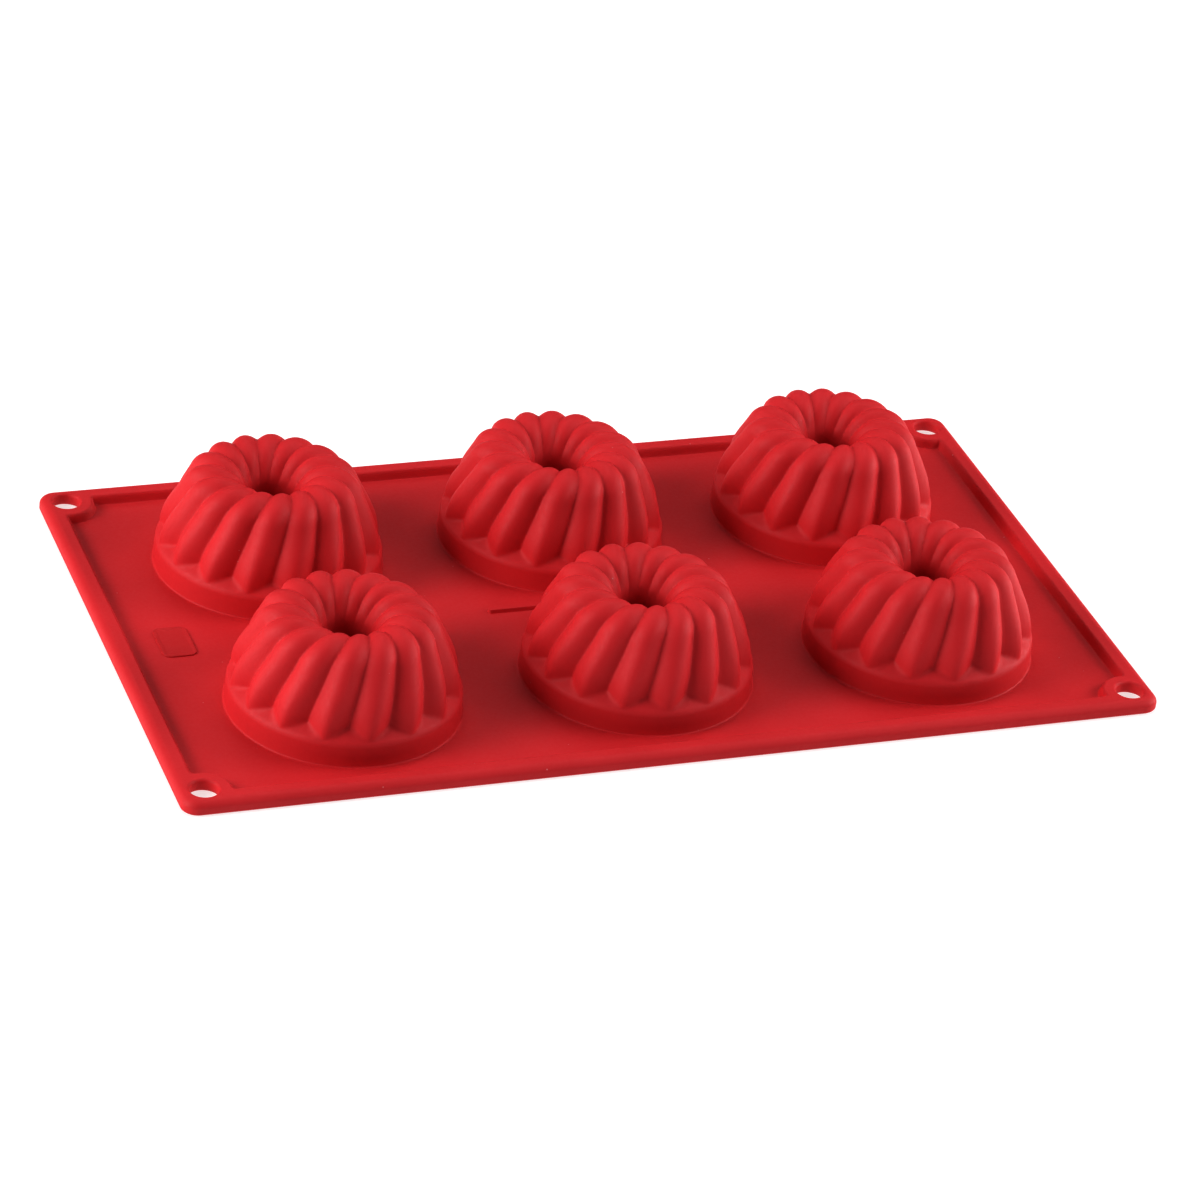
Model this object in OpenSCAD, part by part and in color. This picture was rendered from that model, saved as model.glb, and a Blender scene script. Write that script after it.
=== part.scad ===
// Six-cup fluted bundt mould: one silicone moulding shown as its natural regions.
// It lies on its open mouth with the domes up. The origin is the centre of its underside.

/* [Sheet] */
// Length of the sheet along X
sheet_w = 300; // [290:1:330]
// Depth of the sheet along Y
sheet_d = 175; // [173:1:200]
// Thickness of the flat deck
sheet_t = 1.4; // [1.2:0.1:2]
// Plan radius of the sheet's corners
corner_r = 5; // [3:0.5:6]

/* [Rim bead] */
// Height of the bead from the underside
bead_h = 4.3; // [3.8:0.1:5]
// Width of the bead where it meets the deck
bead_w = 6.6; // [5:0.1:7.5]
// Run of the bead's sloping inner side
bead_slope = 0.3; // [0.1:0.1:1.5]
// Radius along the bead's outer top edge
bead_edge_r = 2.2; // [0.5:0.1:2.4]

/* [Corner eyelets] */
// Distance of each hole's axis from both edges
eyelet_inset = 7.5; // [7:0.1:8]
// Radius of the eyelet's disc at the deck
eyelet_r = 9; // [8.7:0.1:9.5]
// Radius of the hole
hole_r = 3.9; // [3:0.1:4.2]
// Chamfer at both ends of the hole
hole_chamfer = 1; // [0.3:0.1:1.2]

/* [Cups] */
// Distance between cup axes along X
pitch_x = 90; // [85:1:92]
// Distance between cup axes along Y
pitch_y = 80; // [77:1:82]
// Outer radius of the foot ring at the deck
foot_r = 34.5; // [34.2:0.1:35.5]
// Height where the foot ring ends and the fluted wall begins
foot_h = 9.4; // [9:0.1:10]
// Thickness of the cup walls
wall_t = 2.1; // [1.6:0.1:2.4]
// Outer radius over the flutes at the foot ring
flute_r = 33.6; // [33:0.1:33.7]
// Radius of the crown's crest about the cup axis
crest_r = 17.8; // [17:0.1:18.5]
// Height of the centre of the crown's rounding
crown_z = 24.3; // [23.5:0.1:25]
// Radius of the crown's rounding in section
crown_r = 9.67; // [9:0.01:10]

/* [Flutes] */
// Number of flutes round a cup
flute_count = 16; // [12:1:18]
// Depth of the creases at the foot
flute_depth = 3.5; // [2:0.1:3.6]
// Azimuth of the first crease at the foot, in degrees
flute_phase = 7; // [0:0.5:22]
// Twist of the flutes from foot to throat, in degrees
flute_twist = 31.5; // [20:0.5:40]

/* [Centre post] */
// Radius of the throat where the crown meets the post
throat_r = 7.4; // [7:0.1:7.8]
// Height where the crown ends and the post begins
throat_z = 23; // [22:0.5:24]
// Height of the closed tip's outer face
tip_z = 1.5; // [1:0.1:3]

/* [Deck details] */
// Length of the raised rib in the middle of the deck
rib_l = 66; // [40:1:70]
// Width of the raised rib
rib_w = 2.4; // [1.5:0.1:3]
// Height of the raised rib above the deck
rib_h = 1.2; // [0.6:0.1:1.6]
// Size of the blank badge along X
badge_w = 10.5; // [8:0.5:12]
// Size of the blank badge along Y
badge_d = 16; // [12:0.5:18]
// Height of the blank badge above the deck
badge_h = 0.4; // [0.2:0.1:0.6]

/* [Hidden] */
silicone = [0.80, 0.12, 0.14];
shade = [0.70, 0.09, 0.11];
round_fn = 96;
cut = 1;

// Places: name, side along X, side along Y
CORNERS = [["back_left", -1, 1], ["back_right", 1, 1],
           ["front_left", -1, -1], ["front_right", 1, -1]];
CUPS = [["back_left", -1, 1], ["back_middle", 0, 1], ["back_right", 1, 1],
        ["front_left", -1, -1], ["front_middle", 0, -1], ["front_right", 1, -1]];
CUP_PARTS = ["_foot_ring", "_fluted_wall", "_centre_post"];

// The foot ring's shoulder is a cone that carries on inside the flutes' creases
shoulder_run = 1.35;
shoulder_r = foot_r - 0.8;
foot_draft = 0.2;
foot_edge = 1.8;
shoulder_in = wall_t * sqrt(1 + shoulder_run * shoulder_run);
foot_in_r = foot_r - wall_t;

// Section of the flutes' crests: a wall, the crown's arc and the throat
arc_start = 25;
arc_end = 150;
wall_share = 0.42;
crown_share = 0.44;
rows = 12;
per_flute = 4;
around = flute_count * per_flute;
depth_fade = 0.95;

// Rounding of the crests at the foot and over the crown: 0 is a sharp roof
crest_round = [0.16, 0.85];
rounded_by = 0.5;

// Share of the twist that grows with u, with u squared and with u cubed
twist_shares = [0.3, 0.95, -0.25];

rib_y = 0;
badge_x = -sheet_w / 2 + 20.5;
badge_y = 0;
badge_corner = 2.5;
post_draft = 0.6;
tip_round = 1.5;

function mix(a, b, t) = a + (b - a) * t;
function unit(v) = v / norm(v);
function bezier(p0, p1, p2, p3, t) =
    pow(1 - t, 3) * p0 + 3 * pow(1 - t, 2) * t * p1 + 3 * (1 - t) * t * t * p2 + pow(t, 3) * p3;
function crown(a) = [crest_r + crown_r * cos(a), crown_z + crown_r * sin(a)];
function crown_dir(a) = [-sin(a), cos(a)];

// Point on the crests' section at share u of the way from foot to throat: [radius, height]
wall_pull = 8;
throat_pull = 2.5;
function wall_point(t) =
    let (a = [flute_r, foot_h], b = crown(arc_start))
    bezier(a, a + [-0.02, 1] * wall_pull, b - crown_dir(arc_start) * wall_pull, b, t);
function throat_point(t) =
    let (a = crown(arc_end), b = [throat_r, throat_z])
    bezier(a, a + crown_dir(arc_end) * throat_pull, b + [0, 1] * throat_pull, b, t);
function crest(u) =
    u < wall_share ? wall_point(u / wall_share)
    : u < wall_share + crown_share
        ? crown(mix(arc_start, arc_end, (u - wall_share) / crown_share))
        : throat_point(min(1, (u - wall_share - crown_share) / (1 - wall_share - crown_share)));

// Unit normal of the section, pointing out of the silicone on the dome side
function crest_normal(u) =
    let (d = unit(crest(min(1, u + 0.01)) - crest(max(0, u - 0.01)))) [d[1], -d[0]];
function outward(u) = u >= 1 ? [-1, 0] : u <= 0 ? [1, 0] : crest_normal(u);

function crease_depth(u) = u >= 1 ? 0 : flute_depth * pow(1 - u, depth_fade);
function ease(x) = x <= 0 ? 0 : x >= 1 ? 1 : x * x * (3 - 2 * x);
function crest_rounding(u) = mix(crest_round[0], crest_round[1], ease(u / rounded_by));
function roof(x, r) = (sqrt(x * x + r * r) - r) / (sqrt(1 + r * r) - r);
function crease_shape(t, u) = roof(abs(2 * t - 1), crest_rounding(u));
function twist(u) = flute_twist * (twist_shares * [u, u * u, u * u * u]);
function azimuth(i, u) = flute_phase + twist(u) + i * 360 / around;

// The cone of the shoulder fills the creases near the foot
function shoulder_radius(z) = shoulder_r - (z - foot_h) * shoulder_run;
function section(i, u, inset, cone_inset) =
    let (sunk = crease_depth(u) * crease_shape((i % per_flute) / per_flute, u) + inset,
         p = crest(u) - outward(u) * sunk)
    [u < wall_share ? max(p[0], shoulder_radius(p[1]) - cone_inset) : p[0], p[1]];
function shell_point(i, u, inset, cone_inset) =
    let (p = section(i, u, inset, cone_inset), a = azimuth(i, u))
    [p[0] * cos(a), p[0] * sin(a), p[1]];

function row_share(j) = pow(j / rows, 1.5);
shell_points = concat(
    [for (j = [0 : rows], i = [0 : around - 1]) shell_point(i, row_share(j), 0, 0)],
    [for (j = [0 : rows], i = [0 : around - 1])
        shell_point(i, row_share(j), wall_t, shoulder_in)]);

inner = (rows + 1) * around;
function at(j, i) = j * around + i % around;
function quad(a, b, c, d) = [[a, b, c], [a, c, d]];
shell_faces = [
    for (j = [0 : rows - 1], i = [0 : around - 1])
        each quad(at(j, i), at(j + 1, i), at(j + 1, i + 1), at(j, i + 1)),
    for (j = [0 : rows - 1], i = [0 : around - 1])
        each quad(inner + at(j, i), inner + at(j, i + 1),
                  inner + at(j + 1, i + 1), inner + at(j + 1, i)),
    for (i = [0 : around - 1])
        each quad(at(0, i), at(0, i + 1), inner + at(0, i + 1), inner + at(0, i)),
    for (i = [0 : around - 1])
        each quad(at(rows, i), inner + at(rows, i),
                  inner + at(rows, i + 1), at(rows, i + 1))];

module at_cup(c) translate([c[1] * pitch_x, c[2] * pitch_y / 2, 0]) children();
module at_corner(c)
    translate([c[1] * (sheet_w / 2 - eyelet_inset), c[2] * (sheet_d / 2 - eyelet_inset), 0])
        children();

module rounded_rect(w, d, r) {
    square([w - 2 * r, d], center = true);
    square([w, d - 2 * r], center = true);
    for (x = [-1, 1], y = [-1, 1])
        translate([x * (w / 2 - r), y * (d / 2 - r)]) circle(r, $fn = round_fn);
}

// Extrudes a section that is drawn across X or across Y along the other one
module along_y(length) rotate([90, 0, 0]) linear_extrude(length, center = true) children();
module along_x(length) rotate([90, 0, 90]) linear_extrude(length, center = true) children();

module edged_section(w) {
    translate([-w / 2, 0]) square([w, bead_h - bead_edge_r]);
    translate([-w / 2 + bead_edge_r, 0]) square([w - 2 * bead_edge_r, bead_h]);
    for (x = [-1, 1])
        translate([x * (w / 2 - bead_edge_r), bead_h - bead_edge_r])
            circle(bead_edge_r, $fn = round_fn);
}

// Everything inside the sheet's outline, with the outer top edge rounded
module envelope() {
    intersection() {
        linear_extrude(bead_h) rounded_rect(sheet_w, sheet_d, corner_r);
        along_y(sheet_d + cut) edged_section(sheet_w);
        along_x(sheet_w + cut) edged_section(sheet_d);
    }
}

module well_section(w) {
    half = w / 2 - bead_w;
    polygon([[-half, -cut], [half, -cut], [half, sheet_t],
             [half + bead_slope * (bead_h + cut - sheet_t) / (bead_h - sheet_t), bead_h + cut],
             [-half - bead_slope * (bead_h + cut - sheet_t) / (bead_h - sheet_t), bead_h + cut],
             [-half, sheet_t]]);
}

// The space inside the bead
module well() {
    intersection() {
        along_y(sheet_d) well_section(sheet_w);
        along_x(sheet_w) well_section(sheet_d);
    }
}

module bead_ring() {
    difference() {
        envelope();
        well();
    }
}

module deck_sheet() {
    color(silicone)
        linear_extrude(sheet_t)
            difference() {
                square([sheet_w - 2 * bead_w, sheet_d - 2 * bead_w], center = true);
                for (c = CUPS) at_cup(c) circle(foot_r, $fn = round_fn);
                for (c = CORNERS) at_corner(c) circle(eyelet_r, $fn = round_fn);
            }
}

module rim_bead() {
    color(silicone)
        difference() {
            bead_ring();
            for (c = CORNERS)
                at_corner(c) translate([0, 0, -cut])
                    cylinder(r = eyelet_r, h = bead_h + 2 * cut, $fn = round_fn);
        }
}

// Disc round a corner hole, with a sloping side down to the deck
module eyelet_disc() {
    rotate_extrude($fn = round_fn)
        polygon([[0, 0], [eyelet_r, 0], [eyelet_r, sheet_t],
                 [eyelet_r - bead_slope, bead_h], [0, bead_h]]);
}

module eyelet_hole() {
    translate([0, 0, -cut]) cylinder(r = hole_r, h = bead_h + 2 * cut, $fn = round_fn);
    translate([0, 0, -cut])
        cylinder(r1 = hole_r + hole_chamfer + cut, r2 = hole_r, h = hole_chamfer + cut,
                 $fn = round_fn);
    translate([0, 0, bead_h - hole_chamfer])
        cylinder(r1 = hole_r, r2 = hole_r + hole_chamfer + cut, h = hole_chamfer + cut,
                 $fn = round_fn);
}

module eyelet(c) {
    color(shade)
        difference() {
            intersection() {
                envelope();
                at_corner(c) cylinder(r = eyelet_r, h = bead_h, $fn = round_fn);
                union() {
                    bead_ring();
                    at_corner(c) eyelet_disc();
                }
            }
            at_corner(c) eyelet_hole();
        }
}

module foot_ring() {
    color(shade)
        rotate_extrude($fn = round_fn)
            polygon([[foot_in_r, 0], [foot_r, 0], [foot_r, sheet_t],
                     [foot_r - foot_draft, foot_h - foot_edge], [shoulder_r, foot_h],
                     [shoulder_r - shoulder_in, foot_h],
                     [foot_in_r, foot_h - (foot_in_r - shoulder_r + shoulder_in) / shoulder_run]]);
}

module fluted_wall() {
    color(silicone) polyhedron(points = shell_points, faces = shell_faces, convexity = 6);
}

// Blind tube that forms the hole through each cake
module centre_post() {
    floor_z = tip_z + wall_t;
    color(shade)
        rotate_extrude($fn = round_fn)
            polygon([[0, tip_z], [throat_r + wall_t - post_draft - tip_round, tip_z],
                     [throat_r + wall_t - post_draft, tip_z + tip_round],
                     [throat_r + wall_t, throat_z], [throat_r, throat_z],
                     [throat_r - post_draft, floor_z + tip_round],
                     [throat_r - post_draft - tip_round, floor_z], [0, floor_z]]);
}

module deck_rib() {
    reach = (rib_l - rib_w) / 2;
    color(silicone)
        translate([0, rib_y, sheet_t]) {
            translate([-reach, -rib_w / 2, 0]) cube([2 * reach, rib_w, rib_h]);
            for (x = [-reach, reach])
                translate([x, 0, 0]) cylinder(d = rib_w, h = rib_h, $fn = round_fn);
        }
}

module blank_badge() {
    color(shade)
        translate([badge_x, badge_y, sheet_t])
            linear_extrude(badge_h) rounded_rect(badge_w, badge_d, badge_corner);
}

deck_sheet();
rim_bead();
deck_rib();
blank_badge();
for (c = CORNERS)
    eyelet(c);
for (c = CUPS) {
    at_cup(c) foot_ring();
    at_cup(c) fluted_wall();
    at_cup(c) centre_post();
}
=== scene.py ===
"""Six-cup silicone bundt mould: the detailed moulding, its material, studio and camera."""
import math

import bpy
import numpy as np
from mathutils import Matrix, Vector
from mathutils.geometry import delaunay_2d_cdt


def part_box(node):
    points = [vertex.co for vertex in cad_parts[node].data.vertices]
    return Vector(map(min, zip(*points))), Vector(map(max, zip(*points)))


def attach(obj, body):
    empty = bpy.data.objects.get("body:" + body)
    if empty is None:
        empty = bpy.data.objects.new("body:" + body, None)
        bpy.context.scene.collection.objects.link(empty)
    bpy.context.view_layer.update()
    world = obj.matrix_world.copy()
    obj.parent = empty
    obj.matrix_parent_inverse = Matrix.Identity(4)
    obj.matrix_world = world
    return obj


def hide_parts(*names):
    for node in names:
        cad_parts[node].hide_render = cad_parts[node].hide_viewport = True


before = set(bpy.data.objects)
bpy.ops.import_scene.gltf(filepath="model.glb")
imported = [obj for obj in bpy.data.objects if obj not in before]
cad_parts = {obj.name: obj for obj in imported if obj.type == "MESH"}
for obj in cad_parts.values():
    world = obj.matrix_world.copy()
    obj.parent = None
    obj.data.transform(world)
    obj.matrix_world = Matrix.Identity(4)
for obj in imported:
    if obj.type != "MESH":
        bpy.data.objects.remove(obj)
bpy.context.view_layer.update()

# ---------------------------------------------------------------- names in the frame
CUP_NAMES = ["back_left", "back_middle", "back_right",
             "front_left", "front_middle", "front_right"]
CORNER_NAMES = ["back_left", "back_right", "front_left", "front_right"]
CUP_PARTS = ["foot_ring", "fluted_wall", "centre_post"]

# ---------------------------------------------------------------- the sheet, in millimetres
MM = 0.001
HALF_X, HALF_Y, BEAD_Z = np.array(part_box("rim_bead")[1]) / MM
DECK_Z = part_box("deck_sheet")[1][2] / MM

CORNER_R = 5.0
EDGE_R = 3.0             # plan width of the bead's rounded outer half
EDGE_DROP = 2.3          # how far that rounding comes down
EDGE_CUT = 1.6           # inset where the upper face's grid gives way to the edge's own rings
LOWER_EDGE_R = 0.8       # rounding of the sheet's lower edge
BEAD_FLAT = 4.9          # inset where the bead's inner slope starts
BEAD_RUN = 2.1           # plan width of that slope
BANK_POWER = 1.9         # how far the slope's steep part leans to its foot

RIB_LOW, RIB_HIGH = [np.array(corner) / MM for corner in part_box("deck_rib")]
RIB_HALF = (RIB_HIGH[1] - RIB_LOW[1]) / 2
RIB_FLAT = 0.7           # half width of the rib's top
RIB_RUN = 0.5            # plan width of its slope

EYELET_INSET = 7.5
EYELETS = [np.array([sx * (HALF_X - EYELET_INSET), sy * (HALF_Y - EYELET_INSET)])
           for sx in (-1, 1) for sy in (-1, 1)]
DISC_FLAT = 7.1          # radius where the eyelet disc's slope starts
HOLE_R = 4.1
HOLE_UPPER_R = 1.0       # rounding of the hole's upper edge
HOLE_LOWER_R = 1.8       # rounding of its lower edge

OUTLINE_STEP = 4.0       # spacing of points along the sheet's sides
HOLE_POINTS = 48         # points round a hole
DISC_POINTS = 72         # points round an eyelet disc
DOT_SPACING = 0.3        # of the fine points where two slopes meet
DOT_REACH = 11.0         # how far those points go to each side of an eyelet's middle
MERGE_DISTANCE = 1e-4    # points closer than this become one
SLOPE_STEP = 0.01        # step for measuring the slope of a height

# ---------------------------------------------------------------- the cups, in millimetres
FOOT_R = 34.5
FOOT_H = 9.4
FOOT_FILLET = 0.6        # between the deck and the foot ring
CUP_EDGE = 36.0          # radius on the deck where a cup's own grid ends
WALL_T = 2.1
MOUTH_ROUND = 1.0        # rounding of the cavity's lower edge
CAVITY_DRAFT = 0.15      # how much the cavity narrows up to the top of its side
CAVITY_DROP = 0.6        # how far below its corner with the cone that side ends
CAVITY_TURN = (np.array([-0.02, 0.5]), 1.2)  # handles of the curve from the side to the cone

SHOULDER_RUN = 1.35      # how far the shoulder's cone runs in for each millimetre up
SHOULDER_R = FOOT_R - 0.8                                # its radius at the foot ring's top
SHOULDER_IN = WALL_T * math.sqrt(1 + SHOULDER_RUN ** 2)  # how much smaller the cavity's cone is
SIDE_R = FOOT_R - 0.2    # top of the foot ring's side
SIDE_ROUND = 3.0         # rounding between that side and the shoulder
CONE_ANGLE = math.atan2(SHOULDER_RUN, 1)
ROUND_END = FOOT_H + (SHOULDER_R - SIDE_R + SIDE_ROUND * (1 - math.cos(CONE_ANGLE))) / SHOULDER_RUN
ROUND_START = ROUND_END - SIDE_ROUND * math.sin(CONE_ANGLE)
ROW_GAP = 0.02           # between the foot ring's top row and the flutes' first
CAVITY_ROW_GAP = 0.05    # the same in the cavity

FLUTE_R = 33.6           # radius of the crests at the foot
WALL_LEAN = np.array([-0.02, 1])  # direction in which the crests leave the foot
WALL_PULL = 8.0          # length of the wall curve's handles
CROWN_MIDDLE = np.array([17.8, 24.3])  # radius and height of the middle of the crown's arc
CROWN_R = 9.67
ARC_START, ARC_END = 25.0, 150.0  # degrees on that arc
THROAT = np.array([7.4, 23.0])    # radius and height of the throat, where the flutes end
THROAT_PULL = 2.5        # length of the handles of the curve into the throat
WALL_SHARE, CROWN_SHARE = 0.42, 0.44  # shares of u, the way from foot to throat

TIP_Z = 1.5              # underside of the post's tip
POST_DRAFT = 0.6         # how much the post narrows from the throat to its tip
POST_ROUND = 1.5         # rounding at the tip
POST_SHARES = (0.1, 0.25, 0.45, 0.7, 1.0)  # where the rings down the post lie
FLOOR_RADII = (3.0, 1.0)  # of the flat rings on the throat's floor
TIP_RADII = (4.0, 1.5)    # of the flat rings under the tip

FLUTES = 16
FLUTE_DEPTH = 3.5
FLUTE_DEPTH_FADE = 0.95
FLUTE_PHASE = 7.0        # degrees
FLUTE_TWIST = 31.5       # degrees from foot to throat
TWIST_SHARES = (0.3, 0.95, -0.25)  # of the twist that grow with u, u squared and u cubed
CREST_ROUND = (0.32, 0.85)    # rounding of the flutes' crests, at the foot and over the crown
CREASE_ROUND = (0.02, 0.035)  # rounding in the bottom of a crease, as a share of a flute
CREASE_PINCH = 0.2       # how much narrower the creases get over the crown
BLEND_SHARE = 0.5        # of u, where the crown's roundings are reached
TOE_BLEND = 0.45         # rounding where the flutes run out on the shoulder

# The mesh has columns across each flute, closer together at its creases and crest, and rows in u
COLUMN_SHARES = np.array([0, 0.03, 0.09, 0.2, 0.33, 0.43, 0.5, 0.57, 0.67, 0.8, 0.91, 0.97])
FLUTE_SHARE = np.tile(COLUMN_SHARES, FLUTES)
COLUMN_ANGLE = FLUTE_PHASE + (np.repeat(np.arange(FLUTES), len(COLUMN_SHARES))
                              + FLUTE_SHARE) * 360 / FLUTES
ROW_STOPS = (0.004, 0.10, WALL_SHARE, WALL_SHARE + CROWN_SHARE, 1)
ROW_COUNTS = (12, 14, 19, 8)
ROWS = np.concatenate([np.linspace(start, stop, count, endpoint=False)
                       for start, stop, count in zip(ROW_STOPS, ROW_STOPS[1:], ROW_COUNTS)] + [[1]])


def middle(node):
    """Middle of a node's box on the plan."""
    low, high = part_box(node)
    return np.array((low + high) / 2)[:2] / MM


CUPS = [middle(f"cup_{name}_foot_ring") for name in CUP_NAMES]

# ---------------------------------------------------------------- the badge, in millimetres
BADGE_CORNER_R = 2.5
BADGE_EDGE_R = 0.28
BADGE_SUNK = 0.15        # how far the plate reaches into the deck
BADGE_SIDE = 0.12        # height of its upright side
BADGE_RIM = 0.9          # width of its rim
BADGE_BANK = 0.25        # plan width of the step down inside the rim
BADGE_DISH = 0.1         # height of that step
BADGE_FLAT = 0.45        # width of the dish's own outer ring of faces


# ---------------------------------------------------------------- small helpers
def ease(x):
    """Smooth step from 0 to 1."""
    x = np.clip(x, 0, 1)
    return x * x * (3 - 2 * x)


def smooth_max(a, b, k):
    """The larger of a and b, rounded where they differ by less than k."""
    h = np.maximum(k - np.abs(a - b), 0) / k
    return np.maximum(a, b) + h * h * k / 4


def bezier(p0, p1, p2, p3, t):
    t = np.asarray(t)[..., None]
    return (1 - t) ** 3 * p0 + 3 * (1 - t) ** 2 * t * p1 + 3 * (1 - t) * t * t * p2 + t ** 3 * p3


def arc(centre, radius, start, end, steps):
    """Points [radius, height] on an arc of the section, angles in degrees."""
    a = np.radians(np.linspace(start, end, steps + 1))
    return np.stack([centre[0] + radius * np.cos(a), centre[1] + radius * np.sin(a)], 1)


def circle(centre, radius, angles):
    """Closed loop of plan points at the given angles in degrees."""
    a = np.radians(angles)
    return np.stack([centre[0] + radius * np.cos(a), centre[1] + radius * np.sin(a)], 1)


def even_angles(count):
    return np.arange(count) * 360 / count


class Skin:
    """Collects a piece's vertices and faces, and the normals that are known exactly."""

    def __init__(self):
        self.points = []
        self.faces = []
        self.normals = {}

    def add(self, points):
        start = len(self.points)
        self.points.extend(tuple(float(c) for c in p) for p in points)
        return list(range(start, len(self.points)))

    def strip(self, lower, upper):
        """Quads between two closed loops of the same length."""
        n = len(lower)
        for i in range(n):
            j = (i + 1) % n
            self.faces.append((lower[i], lower[j], upper[j], upper[i]))

    def strips(self, loops):
        """Quads between each closed loop and the next."""
        for lower, upper in zip(loops, loops[1:]):
            self.strip(lower, upper)

    def fan(self, loop, tip):
        """Triangles from a closed loop to one point."""
        n = len(loop)
        for i in range(n):
            self.faces.append((loop[i], loop[(i + 1) % n], tip))


# ---------------------------------------------------------------- the sheet's plan
def inset(p):
    """Distance of plan points inwards from the sheet's outline."""
    q = np.abs(p) - np.array([HALF_X - CORNER_R, HALF_Y - CORNER_R])
    outside = np.linalg.norm(np.maximum(q, 0), axis=-1)
    return CORNER_R - outside - np.minimum(q.max(-1), 0)


def eyelet_radius(p):
    """Distance of plan points from the nearest eyelet's middle."""
    return np.min([np.linalg.norm(p - e, axis=-1) for e in EYELETS], axis=0)


def rib_distance(p):
    """Distance of plan points from the deck rib's middle line."""
    x = np.clip(p[..., 0], RIB_LOW[0] + RIB_HALF, RIB_HIGH[0] - RIB_HALF)
    return np.hypot(p[..., 0] - x, p[..., 1] - (RIB_LOW[1] + RIB_HALF))


def bank(t):
    """Share of a bead's height left at t of its slope: gentle at the top, tight at the bottom."""
    return 1 - ease(np.clip(t, 0, 1) ** BANK_POWER)


def deck_height(p):
    """Height of the sheet's upper face over plan points."""
    bead = bank((inset(p) - BEAD_FLAT) / BEAD_RUN)
    disc = bank((eyelet_radius(p) - DISC_FLAT) / BEAD_RUN)
    raised = 1 - (1 - bead) * (1 - disc)
    rib = 1 - ease((rib_distance(p) - RIB_FLAT) / RIB_RUN)
    over = np.clip(1 - inset(p) / EDGE_R, 0, 1)
    drop = EDGE_DROP * (1 - np.sqrt(1 - over ** 2))
    return DECK_Z + (BEAD_Z - DECK_Z) * raised + (RIB_HIGH[2] - DECK_Z) * rib - drop


def underside_height(p):
    return np.zeros(len(p))


def outline(distance):
    """Closed loop round the sheet, a distance inside its outline."""
    points = []
    radius = max(CORNER_R - distance, 0.0)
    cx, cy = HALF_X - max(CORNER_R, distance), HALF_Y - max(CORNER_R, distance)
    corners = [(cx, cy, 0), (-cx, cy, 90), (-cx, -cy, 180), (cx, -cy, 270)]
    for k, (x, y, a0) in enumerate(corners):
        a = np.radians(np.linspace(a0, a0 + 90, 11 if radius else 1))
        turn = np.stack([x + radius * np.cos(a), y + radius * np.sin(a)], 1)
        points.extend(turn)
        nx, ny, b0 = corners[(k + 1) % 4]
        end = np.array([nx + radius * math.cos(math.radians(b0)),
                        ny + radius * math.sin(math.radians(b0))])
        side = 2 * (HALF_X if k % 2 == 0 else HALF_Y)
        count = int(round(side / OUTLINE_STEP))
        for i in range(1, count):
            points.append(turn[-1] + (end - turn[-1]) * i / count)
    return np.array(points)


def stadium(distance):
    """Closed loop round the deck rib, a distance from its middle line."""
    end_steps, side_steps = 12, 16
    left, right = RIB_LOW[0] + RIB_HALF, RIB_HIGH[0] - RIB_HALF
    y = RIB_LOW[1] + RIB_HALF
    points = []
    for x, other, a0 in ((right, left, -90), (left, right, 90)):
        a = np.radians(np.linspace(a0, a0 + 180, end_steps + 1))
        turn = np.stack([x + distance * np.cos(a), y + distance * np.sin(a)], 1)
        points.extend(turn)
        for i in range(1, side_steps):
            points.append([turn[-1][0] + (other - x) * i / side_steps, turn[-1][1]])
    return np.array(points)


def inside(loop, p):
    """Even-odd test of plan points against a closed loop."""
    a, b = loop, np.roll(loop, -1, axis=0)
    x, y = p[:, 0][:, None], p[:, 1][:, None]
    crosses = (a[:, 1] > y) != (b[:, 1] > y)
    dy = np.where(b[:, 1] == a[:, 1], 1e-12, b[:, 1] - a[:, 1])
    at = a[:, 0] + (y - a[:, 1]) * (b[:, 0] - a[:, 0]) / dy
    return (crosses & (x < at)).sum(1) % 2 == 1


def fill_plan(skin, loops, chains, dots, height, facing):
    """Triangulates inside loops[0] and outside the other loops; returns each loop's vertices."""
    points, edges, starts = [], [], []
    for loop in loops:
        starts.append(len(points))
        edges += [(len(points) + i, len(points) + (i + 1) % len(loop)) for i in range(len(loop))]
        points.extend(loop)
    for chain in chains:
        edges += [(len(points) + i, len(points) + i + 1) for i in range(len(chain) - 1)]
        points.extend(chain)
    points.extend(dots)
    result = delaunay_2d_cdt([Vector((float(p[0]), float(p[1]))) for p in points],
                             edges, [], 0, MERGE_DISTANCE)
    plan = np.array([v[:] for v in result[0]])
    triangles = np.array([f[:] for f in result[2]])
    centres = plan[triangles].mean(1)
    keep = inside(loops[0], centres)
    for loop in loops[1:]:
        keep &= ~inside(loop, centres)
    place = {old: new for new, olds in enumerate(result[3]) for old in olds}
    used = sorted(set(triangles[keep].ravel()))
    z = height(plan)
    ids = dict(zip(used, skin.add([(plan[i][0], plan[i][1], z[i]) for i in used])))

    across, along = np.array([SLOPE_STEP, 0]), np.array([0, SLOPE_STEP])
    dx = (height(plan + across) - height(plan - across)) / (2 * SLOPE_STEP)
    dy = (height(plan + along) - height(plan - along)) / (2 * SLOPE_STEP)
    for i in used:
        skin.normals[ids[i]] = Vector((-dx[i], -dy[i], 1)).normalized() * facing

    for t in triangles[keep]:
        a, b, c = plan[t]
        turn = (b[0] - a[0]) * (c[1] - a[1]) - (b[1] - a[1]) * (c[0] - a[0])
        t = t if turn * facing > 0 else t[::-1]
        skin.faces.append(tuple(ids[i] for i in t))
    return [[ids[place[s + i]] for i in range(len(loop))] for s, loop in zip(starts, loops)]


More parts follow.
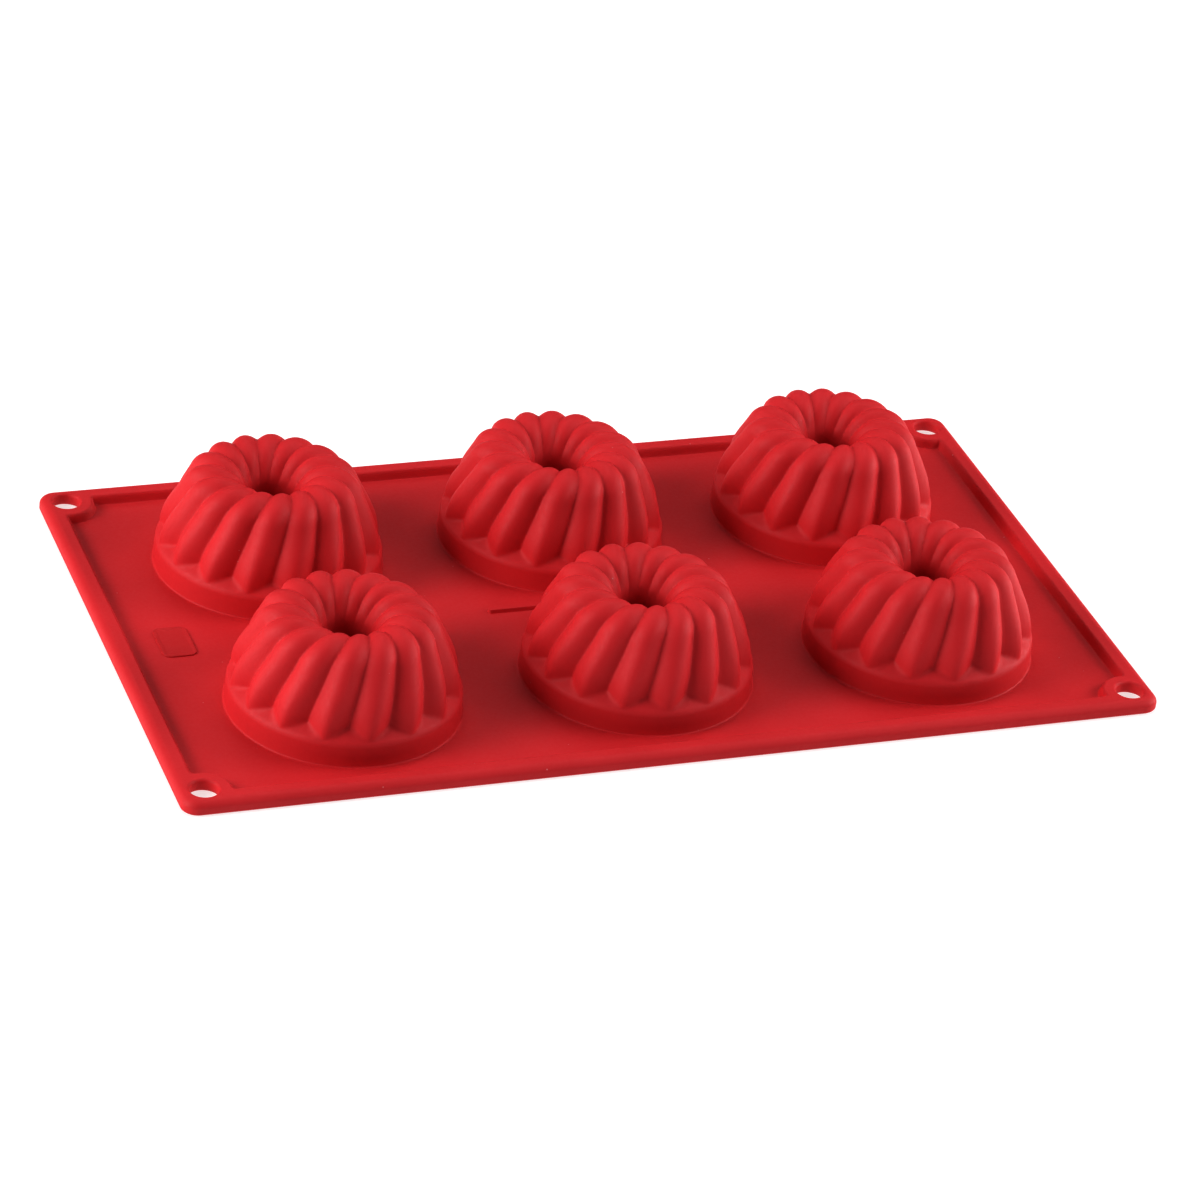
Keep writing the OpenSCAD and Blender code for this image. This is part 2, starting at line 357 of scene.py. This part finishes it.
# ---------------------------------------------------------------- the fluted cups
def crown(angle):
    """Point [radius, height] on the crown's arc."""
    a = np.radians(angle)
    return CROWN_MIDDLE + CROWN_R * np.stack([np.cos(a), np.sin(a)], -1)


def crown_direction(angle):
    a = np.radians(angle)
    return np.array([-np.sin(a), np.cos(a)])


def crest(u):
    """Section of the flutes' crests, u from 0 at the foot to 1 at the throat."""
    u = np.clip(np.asarray(u, float), 0, 1)
    crown_end = WALL_SHARE + CROWN_SHARE
    foot, start, end = np.array([FLUTE_R, FOOT_H]), crown(ARC_START), crown(ARC_END)
    wall = bezier(foot, foot + WALL_PULL * WALL_LEAN,
                  start - WALL_PULL * crown_direction(ARC_START), start,
                  np.clip(u / WALL_SHARE, 0, 1))
    over = crown(ARC_START + (ARC_END - ARC_START) * (u - WALL_SHARE) / CROWN_SHARE)
    down = bezier(end, end + THROAT_PULL * crown_direction(ARC_END), THROAT + [0, THROAT_PULL],
                  THROAT, np.clip((u - crown_end) / (1 - crown_end), 0, 1))
    on_wall = (u < WALL_SHARE)[..., None]
    on_crown = (u < crown_end)[..., None]
    return np.where(on_wall, wall, np.where(on_crown, over, down))


def outward(u):
    """Unit direction out of the crests' section, level at both of its ends."""
    u = np.asarray(u, float)
    d = crest(np.minimum(u + 0.01, 1)) - crest(np.maximum(u - 0.01, 0))
    d /= np.linalg.norm(d, axis=-1)[..., None]
    normal = np.stack([d[..., 1], -d[..., 0]], -1)
    normal = np.where((u >= 1)[..., None], [-1, 0], normal)
    return np.where((u <= 0)[..., None], [1, 0], normal)


def crease_shape(t, u):
    """1 in a crease and 0 on a crest: roof-like at the foot and rounder over the crown."""
    blend = float(ease(u / BLEND_SHARE))
    low = CREASE_ROUND[0] + (CREASE_ROUND[1] - CREASE_ROUND[0]) * blend
    top = CREST_ROUND[0] + (CREST_ROUND[1] - CREST_ROUND[0]) * blend
    s = np.minimum(t, 1 - t)
    s = np.sqrt(s * s + low ** 2) - low
    x = np.maximum(1 - 2 * s / (1 - 2 * low), 0)
    shape = (np.sqrt(x * x + top * top) - top) / (math.sqrt(1 + top * top) - top)
    return shape ** (1 + CREASE_PINCH * blend)


def turned(section, u):
    """Section points [radius, height] per column, at share u, as x, y, z about the axis."""
    a = np.radians(COLUMN_ANGLE + FLUTE_TWIST * np.dot(TWIST_SHARES, (u, u * u, u ** 3)))
    radius = section[..., 0] * np.ones_like(a)
    height = section[..., 1] * np.ones_like(a)
    return np.stack([radius * np.cos(a), radius * np.sin(a), height], -1)


def cone(z):
    """Radius of the shoulder's cone at a height."""
    return SHOULDER_R - (z - FOOT_H) * SHOULDER_RUN


def shoulder(z):
    """Radius of the upper side between the flutes: the rounded top of the ring, then a cone."""
    over = np.clip((z - ROUND_START) / SIDE_ROUND, 0, 1)
    rounded = SIDE_R - SIDE_ROUND * (1 - np.sqrt(1 - over ** 2))
    return np.where(z < ROUND_END, rounded, cone(z))


def cavity_shoulder(z):
    """Radius of the cavity's side between the flutes: a cone, a wall's thickness inside."""
    return cone(z) - SHOULDER_IN


def fluted_ring(u, thickness, between):
    """Ring at share u, a thickness below the flutes; between gives the radius of the side there."""
    sunk = FLUTE_DEPTH * (1 - u) ** FLUTE_DEPTH_FADE * crease_shape(FLUTE_SHARE, u) + thickness
    p = crest(u) - outward(u) * sunk[:, None]
    if u < WALL_SHARE:
        p[:, 0] = smooth_max(p[:, 0], between(p[:, 1]), TOE_BLEND)
    return turned(p, u)


def post_rings(radius, tip_z, flat_radii):
    """Rings from the throat down the post, over the rounding of its tip and in to the middle."""
    round_z = tip_z + POST_ROUND
    section = [[radius - POST_DRAFT * s, THROAT[1] + (round_z - THROAT[1]) * s] for s in POST_SHARES]
    section += list(arc([radius - POST_DRAFT - POST_ROUND, round_z], POST_ROUND, 0, -90, 5)[1:])
    section += [[r, tip_z] for r in flat_radii]
    return [turned(np.array(p), 1) for p in section]


def upper_rings():
    """Rings of the cup's upper side, from the deck to the throat's floor, and its height."""
    fillet = arc([FOOT_R + FOOT_FILLET, DECK_Z + FOOT_FILLET], FOOT_FILLET, 270, 180, 6)
    edge_z = np.linspace(ROUND_START, FOOT_H - ROW_GAP, 9)
    edge = np.stack([shoulder(edge_z), edge_z], -1)
    foot = np.concatenate([fillet, [(fillet[-1] + edge[0]) / 2], edge])
    rings = [turned(p, 0) for p in foot] + [fluted_ring(u, 0, shoulder) for u in ROWS]
    floor_z = TIP_Z + WALL_T
    return rings + post_rings(THROAT[0], floor_z, FLOOR_RADII), floor_z


def cavity_rings():
    """Rings of the cup's cavity, from the sheet's underside to the post's tip, and its height."""
    side_r = FOOT_R - WALL_T
    mouth = arc([side_r + MOUTH_ROUND, MOUTH_ROUND], MOUTH_ROUND, 270, 180, 5)
    cone_z = FOOT_H - CAVITY_ROW_GAP
    cone_low = np.array([cavity_shoulder(cone_z), cone_z])
    corner_z = FOOT_H - (side_r - SHOULDER_R + SHOULDER_IN) / SHOULDER_RUN
    side_top = np.array([side_r - CAVITY_DRAFT, corner_z - CAVITY_DROP])
    side_handle, cone_pull = CAVITY_TURN
    cone_handle = cone_pull * np.array([SHOULDER_RUN, -1])
    edge = bezier(side_top, side_top + side_handle, cone_low + cone_handle, cone_low,
                  np.linspace(0, 1, 6))
    foot = np.concatenate([mouth, [(mouth[-1] + side_top) / 2], edge])
    rings = [turned(p, 0) for p in foot] + [fluted_ring(u, WALL_T, cavity_shoulder) for u in ROWS]
    return rings + post_rings(THROAT[0] + WALL_T, TIP_Z, TIP_RADII), TIP_Z


def add_cup_side(skin, centre, boundary, rings, tip_z, facing):
    """Grid of rings from the boundary loop to a closing tip."""
    shift = np.array([centre[0], centre[1], 0])
    loops = [boundary] + [skin.add(ring + shift) for ring in rings]
    tip = skin.add([(centre[0], centre[1], tip_z)])[0]
    skin.strips(loops if facing > 0 else loops[::-1])
    skin.fan(loops[-1] if facing > 0 else loops[-1][::-1], tip)


# ---------------------------------------------------------------- the moulding
def clipped(loop, keep):
    """Pieces of a closed loop where keep holds, each as an open chain."""
    chains, chain = [], []
    for p, k in zip(np.vstack([loop, loop[:1]]), np.append(keep, keep[0])):
        if k:
            chain.append(p)
        elif chain:
            chains.append(chain)
            chain = []
    return [c for c in chains + [chain] if len(c) > 1]


def upper_chains():
    """Lines that the upper face's slopes follow, cut off where another slope or a hole starts."""
    clear_of_hole = HOLE_R + HOLE_UPPER_R + 0.25
    clear_of_disc = DISC_FLAT + BEAD_RUN * 1.1
    clear_of_bead = (BEAD_FLAT + BEAD_RUN) * 1.01
    chains = []
    for s in np.linspace(EDGE_CUT, EDGE_R, 6)[1:]:
        loop = outline(s)
        chains += clipped(loop, eyelet_radius(loop) > clear_of_hole)
    for s in np.linspace(-0.05, 1.05, 9):
        loop = outline(BEAD_FLAT + BEAD_RUN * s)
        chains += clipped(loop, eyelet_radius(loop) > clear_of_disc)
        for e in EYELETS:
            ring = circle(e, DISC_FLAT + BEAD_RUN * s, even_angles(DISC_POINTS))
            chains += clipped(ring, inset(ring) > clear_of_bead)
    for s in np.linspace(0, 1, 7):
        loop = stadium(RIB_FLAT + RIB_RUN * s)
        chains.append(list(loop) + [loop[0]])
    return chains


def upper_dots():
    """Fine points where the bead's slope and an eyelet's slope meet."""
    g = np.arange(-DOT_REACH, DOT_REACH + 0.01, DOT_SPACING)
    dots = []
    for e in EYELETS:
        p = np.stack(np.meshgrid(g, g), -1).reshape(-1, 2) + e
        d, r = inset(p), eyelet_radius(p)
        near = (d > BEAD_FLAT - 0.1) & (d < BEAD_FLAT + BEAD_RUN) & (r > DISC_FLAT - 0.1)
        dots.extend(p[near & (r < DISC_FLAT + BEAD_RUN * 1.05)])
    return dots


def add_outer_edge(skin, upper, lower):
    """The sheet's edge, from the upper face over the bead's rounding to the underside."""
    edge = [(EDGE_R * (1 - math.cos(a)), BEAD_Z - EDGE_DROP * (1 - math.sin(a)))
            for a in np.linspace(math.acos(1 - EDGE_CUT / EDGE_R), 0, 9)[1:]]
    edge += [(0.0, (BEAD_Z - EDGE_DROP + LOWER_EDGE_R) / 2)]
    edge += [(LOWER_EDGE_R * (1 - math.cos(a)), LOWER_EDGE_R * (1 - math.sin(a)))
             for a in np.radians(np.linspace(0, 90, 6)[:-1])]
    loops = [skin.add([(x, y, z) for x, y in outline(distance)]) for distance, z in edge]
    skin.strips([lower] + loops[::-1] + [upper])


def add_hole(skin, eyelet, upper, lower):
    """An eyelet's hole, rounded at both of its edges."""
    wall = [(HOLE_R + HOLE_UPPER_R * (1 - math.sin(a)), BEAD_Z - HOLE_UPPER_R * (1 - math.cos(a)))
            for a in np.radians(np.linspace(0, 90, 8)[1:])]
    wall += [(HOLE_R + HOLE_LOWER_R * (1 - math.sin(a)), HOLE_LOWER_R * (1 - math.cos(a)))
             for a in np.radians(np.linspace(90, 0, 8)[:-1])]
    angles = even_angles(HOLE_POINTS)
    loops = [skin.add([(x, y, z) for x, y in circle(eyelet, r, angles)]) for r, z in wall]
    skin.strips([upper] + loops + [lower])


def build_moulding():
    """The whole sheet with its six cups, as one closed skin."""
    skin = Skin()
    cup_loops = [circle(c, CUP_EDGE, COLUMN_ANGLE) for c in CUPS]
    angles = even_angles(HOLE_POINTS)
    upper_holes = [circle(e, HOLE_R + HOLE_UPPER_R, angles) for e in EYELETS]
    lower_holes = [circle(e, HOLE_R + HOLE_LOWER_R, angles) for e in EYELETS]
    top = fill_plan(skin, [outline(EDGE_CUT)] + upper_holes + cup_loops,
                    upper_chains(), upper_dots(), deck_height, 1)
    bottom = fill_plan(skin, [outline(LOWER_EDGE_R)] + lower_holes + cup_loops,
                       [], [], underside_height, -1)
    add_outer_edge(skin, top[0], bottom[0])
    for k, eyelet in enumerate(EYELETS, 1):
        add_hole(skin, eyelet, top[k], bottom[k])
    upper, floor_z = upper_rings()
    cavity, tip_z = cavity_rings()
    for k, centre in enumerate(CUPS, 1 + len(EYELETS)):
        add_cup_side(skin, centre, top[k], upper, floor_z, 1)
        add_cup_side(skin, centre, bottom[k], cavity, tip_z, -1)
    return skin


def finish_mesh(name, skin):
    """Makes the skin a smooth object in the scene, with its exact normals where they are known."""
    mesh = bpy.data.meshes.new(name)
    mesh.from_pydata([tuple(c * MM for c in p) for p in skin.points], [], skin.faces)
    mesh.validate(clean_customdata=False)
    mesh.polygons.foreach_set("use_smooth", [True] * len(mesh.polygons))
    mesh.update()
    normals = [v.normal.copy() for v in mesh.vertices]
    for i, n in skin.normals.items():
        normals[i] = n
    mesh.normals_split_custom_set_from_vertices(normals)
    piece = bpy.data.objects.new(name, mesh)
    bpy.context.scene.collection.objects.link(piece)
    return piece


def build_badge():
    """Thin blank plate with rounded edges and a shallow dish, standing on the deck."""
    low, high = [np.array(corner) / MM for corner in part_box("blank_badge")]
    centre, half = (low + high)[:2] / 2, (high - low)[:2] / 2
    skin = Skin()

    def ring(shrink, z):
        radius = BADGE_CORNER_R - shrink
        points = []
        for sx, sy, a0 in ((1, 1, 0), (-1, 1, 90), (-1, -1, 180), (1, -1, 270)):
            for a in np.radians(np.linspace(a0, a0 + 90, 9)):
                points.append((centre[0] + sx * (half[0] - BADGE_CORNER_R) + radius * math.cos(a),
                               centre[1] + sy * (half[1] - BADGE_CORNER_R) + radius * math.sin(a), z))
        return skin.add(points)

    loops = [ring(0, low[2] - BADGE_SUNK), ring(0, low[2] + BADGE_SIDE)]
    loops += [ring(BADGE_EDGE_R * (1 - math.cos(a)), high[2] - BADGE_EDGE_R * (1 - math.sin(a)))
              for a in np.radians(np.linspace(15, 90, 6))]
    loops.append(ring(BADGE_RIM, high[2]))
    loops += [ring(BADGE_RIM + BADGE_BANK + s, high[2] - BADGE_DISH) for s in (0, BADGE_FLAT)]
    skin.strips(loops)
    skin.faces.append(tuple(loops[0][::-1]))
    skin.faces.append(tuple(loops[-1]))
    return finish_mesh("blank_badge_plate", skin)


# ---------------------------------------------------------------- material
SPECULAR = 0.42
ROUGHNESS = (0.58, 0.68)
MOTTLE_SCALE = 38        # of the colour's mottling; the scales count per metre
SKIN_SCALE = 900         # of the fine changes in roughness
GRAIN_SCALE = 2600       # of the fine bump
GRAIN_HEIGHT = 0.00006   # metres
GRAIN_STRENGTH = 0.25
SPECK_SCALE = 260        # of the dust's cells
RARITY_SCALE = 330       # of the noise that leaves most cells clean
DUST_SHARE, DUST_GREY = 0.55, 0.30  # the dust's colour is this share of the light red plus a grey
RED = ((0.57, 0.021, 0.028), (0.61, 0.025, 0.033))  # deep and light ends of the mottling
BADGE_RED = ((0.49, 0.014, 0.018), (0.53, 0.017, 0.022))


def grey(level):
    return (level, level, level)


def silicone(name, deep, light):
    """Satin moulded silicone: mottled colour, fine skin and a little dust."""
    mat = bpy.data.materials.new(name)
    mat.use_nodes = True
    nodes, links = mat.node_tree.nodes, mat.node_tree.links
    bsdf = nodes["Principled BSDF"]
    bsdf.inputs["Specular IOR Level"].default_value = SPECULAR
    coords = nodes.new("ShaderNodeTexCoord")

    def noise(scale, detail, rough=0.5):
        node = nodes.new("ShaderNodeTexNoise")
        node.inputs["Scale"].default_value = scale
        node.inputs["Detail"].default_value = detail
        node.inputs["Roughness"].default_value = rough
        links.new(coords.outputs["Object"], node.inputs["Vector"])
        return node.outputs["Fac"]

    def ramp(value, *stops):
        node = nodes.new("ShaderNodeValToRGB")
        for element, (position, colour) in zip(node.color_ramp.elements, stops):
            element.position = position
            element.color = (*colour, 1)
        links.new(value, node.inputs["Fac"])
        return node.outputs["Color"]

    # Dust: the small middles of a cell texture's cells, kept only where a noise is high
    cells = nodes.new("ShaderNodeTexVoronoi")
    cells.inputs["Scale"].default_value = SPECK_SCALE
    links.new(coords.outputs["Object"], cells.inputs["Vector"])
    dust = nodes.new("ShaderNodeMath")
    dust.operation = "MULTIPLY"
    links.new(ramp(cells.outputs["Distance"], (0.035, grey(1)), (0.075, grey(0))), dust.inputs[0])
    links.new(ramp(noise(RARITY_SCALE, 0), (0.66, grey(0)), (0.70, grey(0.7))), dust.inputs[1])

    colour = nodes.new("ShaderNodeMix")
    colour.data_type = "RGBA"
    links.new(dust.outputs[0], colour.inputs["Factor"])
    links.new(ramp(noise(MOTTLE_SCALE, 3), (0.3, deep), (0.7, light)), colour.inputs["A"])
    dusty = [c * DUST_SHARE + DUST_GREY for c in light]
    colour.inputs["B"].default_value = (*dusty, 1)
    links.new(colour.outputs["Result"], bsdf.inputs["Base Color"])

    smooth, rough = ROUGHNESS
    links.new(ramp(noise(SKIN_SCALE, 2), (0.3, grey(smooth)), (0.7, grey(rough))),
              bsdf.inputs["Roughness"])
    bump = nodes.new("ShaderNodeBump")
    bump.inputs["Strength"].default_value = GRAIN_STRENGTH
    bump.inputs["Distance"].default_value = GRAIN_HEIGHT
    links.new(noise(GRAIN_SCALE, 3, 0.6), bump.inputs["Height"])
    links.new(bump.outputs["Normal"], bsdf.inputs["Normal"])
    return mat


moulding = finish_mesh("silicone_moulding", build_moulding())
moulding.data.materials.append(silicone("red_silicone", *RED))
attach(moulding, "root")
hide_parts("deck_sheet", "rim_bead", "deck_rib",
            *[f"eyelet_{name}" for name in CORNER_NAMES],
            *[f"cup_{name}_{part}" for name in CUP_NAMES for part in CUP_PARTS])

badge = build_badge()
badge.data.materials.append(silicone("badge_silicone", *BADGE_RED))
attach(badge, "root")
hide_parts("blank_badge")

# ---------------------------------------------------------------- studio, in metres and watts
FLOOR_HALF = 3.0
FLOOR_Z = -0.0002        # just under the sheet, so that the two don't share a plane
FLOOR_GREY = 0.40
FLOOR_ROUGHNESS = 0.9
FLOOR_GLOW = 0.72
WORLD_STRENGTH = 0.02
VIEW_GAMMA = 0.74        # deepens the picture's shades
LIGHT_DISTANCE = 1.6
LIGHT_SIZE = (0.7, 0.6)
LIGHTS = [("light_left_low", -90, 8, 6.5),  # name, azimuth, elevation, power and its own size
          ("light_left", -85, 30, 17),
          ("light_back_left", -120, 20, 6.5),
          ("light_right_low", 95, 8, 12.5),
          ("light_right", 76, 30, 12),
          ("light_front_right", 45, 34, 4),
          ("light_top_right", 130, 60, 4.5),
          ("light_top", 180, 75, 4.5, (0.8, 0.8)),
          ("light_back", 180, 38, 2.5)]
CAMERA_AZIMUTH, CAMERA_ELEVATION, CAMERA_ROLL = -22.48, 30.97, 6.54
CAMERA_TARGET = Vector((4.01, 3.01, 0)) * MM
CAMERA_DISTANCE = 1.495
CAMERA_LENS = 148.44     # millimetres
CAMERA_SENSOR = 36       # millimetres


def direction(azimuth, elevation):
    """Unit vector to a place round the mould; azimuth 0 is in front and grows to the right."""
    a, e = math.radians(azimuth), math.radians(elevation)
    return Vector((math.sin(a) * math.cos(e), -math.cos(a) * math.cos(e), math.sin(e)))


def add_floor():
    """Plain pale floor with a glow of its own, so that it stays white round the sheet."""
    mesh = bpy.data.meshes.new("studio_floor")
    corners = [(sx * FLOOR_HALF, sy * FLOOR_HALF, 0) for sx, sy in ((-1, -1), (1, -1), (1, 1), (-1, 1))]
    mesh.from_pydata(corners, [], [(0, 1, 2, 3)])
    floor = bpy.data.objects.new("studio_floor", mesh)
    floor.location.z = FLOOR_Z
    bpy.context.scene.collection.objects.link(floor)
    mat = bpy.data.materials.new("pale_floor")
    mat.use_nodes = True
    bsdf = mat.node_tree.nodes["Principled BSDF"]
    bsdf.inputs["Base Color"].default_value = (*grey(FLOOR_GREY), 1)
    bsdf.inputs["Roughness"].default_value = FLOOR_ROUGHNESS
    bsdf.inputs["Specular IOR Level"].default_value = 0.0
    bsdf.inputs["Emission Color"].default_value = (1, 1, 1, 1)
    bsdf.inputs["Emission Strength"].default_value = FLOOR_GLOW
    mesh.materials.append(mat)


def add_light(name, azimuth, elevation, power, size=LIGHT_SIZE):
    """Soft area light that looks at the mould."""
    place = direction(azimuth, elevation)
    data = bpy.data.lights.new(name, "AREA")
    data.shape = "RECTANGLE"
    data.size, data.size_y = size
    data.energy = power
    light = bpy.data.objects.new(name, data)
    light.location = place * LIGHT_DISTANCE
    light.rotation_euler = place.to_track_quat("Z", "Y").to_euler()
    bpy.context.scene.collection.objects.link(light)


def add_camera():
    """Camera at the photograph's viewing angle."""
    back = direction(CAMERA_AZIMUTH, CAMERA_ELEVATION)
    right = (-back).cross(Vector((0, 0, 1))).normalized()
    up = right.cross(-back)
    roll = math.radians(CAMERA_ROLL)
    c, s = math.cos(roll), math.sin(roll)
    axes = Matrix((c * right + s * up, c * up - s * right, back)).transposed().to_4x4()
    data = bpy.data.cameras.new("camera")
    data.sensor_width = CAMERA_SENSOR
    data.lens = CAMERA_LENS
    data.clip_start, data.clip_end = 0.01, 20
    camera = bpy.data.objects.new("camera", data)
    camera.matrix_world = Matrix.Translation(CAMERA_TARGET + back * CAMERA_DISTANCE) @ axes
    bpy.context.scene.collection.objects.link(camera)
    bpy.context.scene.camera = camera


add_floor()
for light in LIGHTS:
    add_light(*light)
world = bpy.data.worlds.new("studio")
world.use_nodes = True
world.node_tree.nodes["Background"].inputs["Color"].default_value = (1, 1, 1, 1)
world.node_tree.nodes["Background"].inputs["Strength"].default_value = WORLD_STRENGTH
bpy.context.scene.world = world
bpy.context.scene.view_settings.view_transform = "Standard"
bpy.context.scene.view_settings.gamma = VIEW_GAMMA
add_camera()
